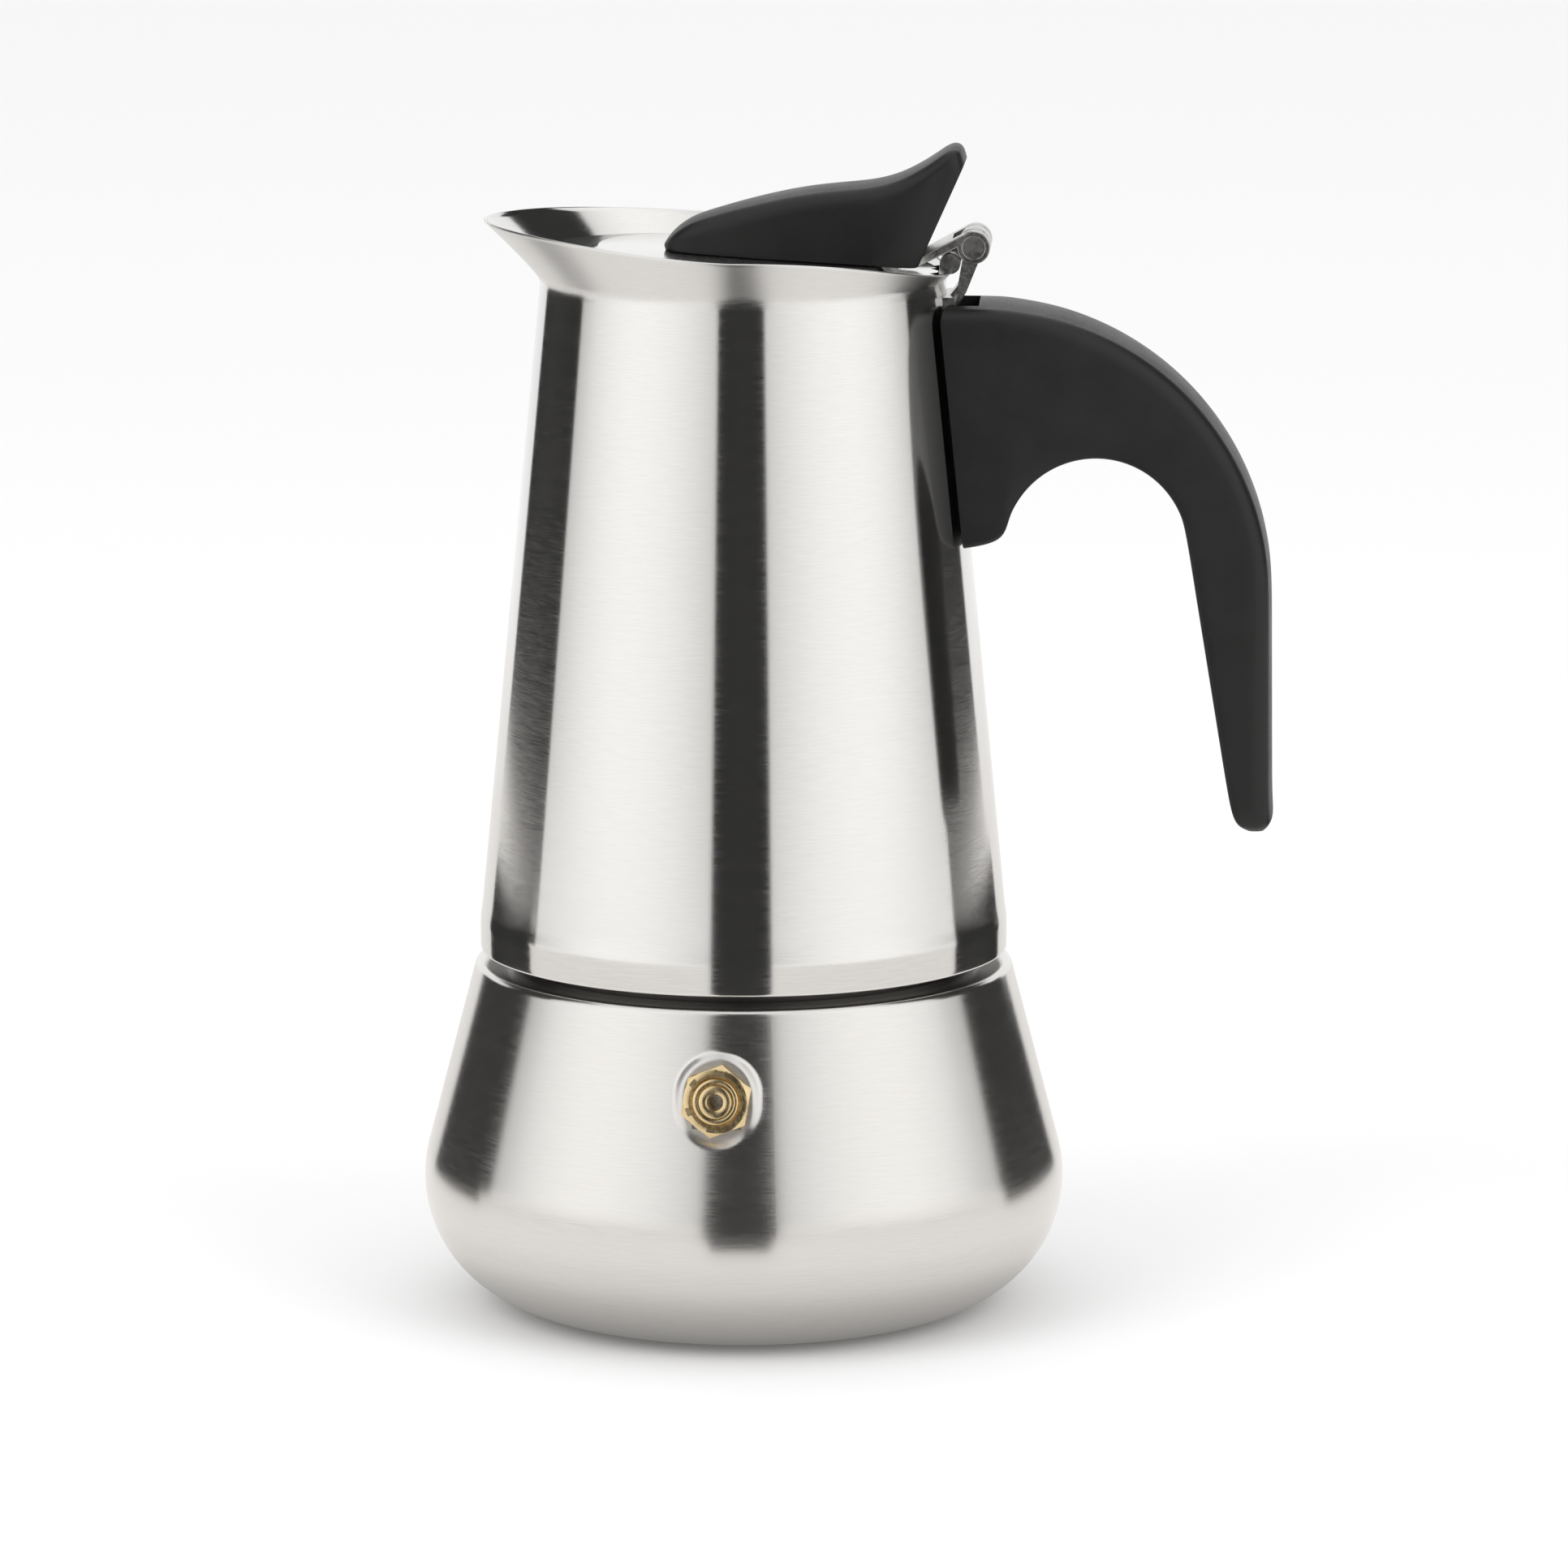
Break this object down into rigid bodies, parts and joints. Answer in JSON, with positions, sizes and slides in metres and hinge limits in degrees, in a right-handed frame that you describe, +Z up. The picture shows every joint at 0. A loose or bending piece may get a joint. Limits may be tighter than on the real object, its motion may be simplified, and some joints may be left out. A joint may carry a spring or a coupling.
{
  "type": "moka pot",
  "caption": "Stovetop moka pot: flared steel water boiler with safety valve, funnel, screwed-on pouring collector, hinged lid and arched black handle.",
  "frame": {"origin": "centre of the boiler's flat base, on the surface the pot stands on", "axes": "+Z up along the pot's axis, +X towards the handle, -X towards the spout, the safety valve faces -Y"},
  "size_m": [0.1375, 0.1038, 0.189],
  "materials": {
    "polished_steel": "polished outside with fine lines running round the pot",
    "plain_steel": "satin, drawn and rolled inner parts",
    "brass": "turned, bright",
    "black_plastic": "satin moulded heat-proof plastic",
    "silicone": "matt translucent white silicone",
    "screw_steel": "plated, machined"
  },
  "bodies": {
    "boiler": {"boiler_shell": "polished_steel", "boiler_neck_ring": "plain_steel", "valve_body": "brass", "valve_washer": "silicone", "valve_nut": "brass", "valve_seat": "brass", "valve_spring": "screw_steel", "funnel_cup": "plain_steel", "funnel_screen": "plain_steel", "funnel_stem": "plain_steel"},
    "valve_plunger": {"valve_plunger": "screw_steel"},
    "seal": {"gasket": "silicone", "filter_plate": "plain_steel"},
    "collector": {"collector_shell": "polished_steel", "collector_base": "plain_steel", "column_tube": "plain_steel", "column_cap": "plain_steel", "handle_bracket": "plain_steel", "handle": "black_plastic", "handle_screw": "screw_steel"},
    "lid": {"lid_disc": "polished_steel", "lid_hinge_leaf": "plain_steel", "lid_knob": "black_plastic", "knob_screws": "screw_steel", "hinge_pin": "screw_steel"}
  },
  "joints": [
    {"name": "valve_lift", "type": "slide", "parent": "boiler", "child": "valve_plunger", "axis": [-0.0328, -0.9897, 0.1392], "range_m": [0, 0.0012], "stiffness_N_per_m": 500, "springref_m": -0.0015, "deforming": ["valve_spring"]},
    {"name": "collector_rise", "type": "slide", "parent": "boiler", "child": "seal", "axis": [0, 0, 1], "range_m": [0, 0.008]},
    {"name": "collector_unscrew", "type": "hinge", "parent": "seal", "child": "collector", "pos_m": [0, 0, 0.0625], "axis": [0, 0, 1], "range_deg": [0, 720]},
    {"name": "lid_hinge", "type": "hinge", "parent": "collector", "child": "lid", "pos_m": [0.03705, 0, 0.173], "axis": [0, 1, 0], "range_deg": [0, 108]}
  ],
  "couplings": [
    {"joint": "collector_rise", "follows": "collector_unscrew", "m_per_rad": 0.00063662}
  ]
}
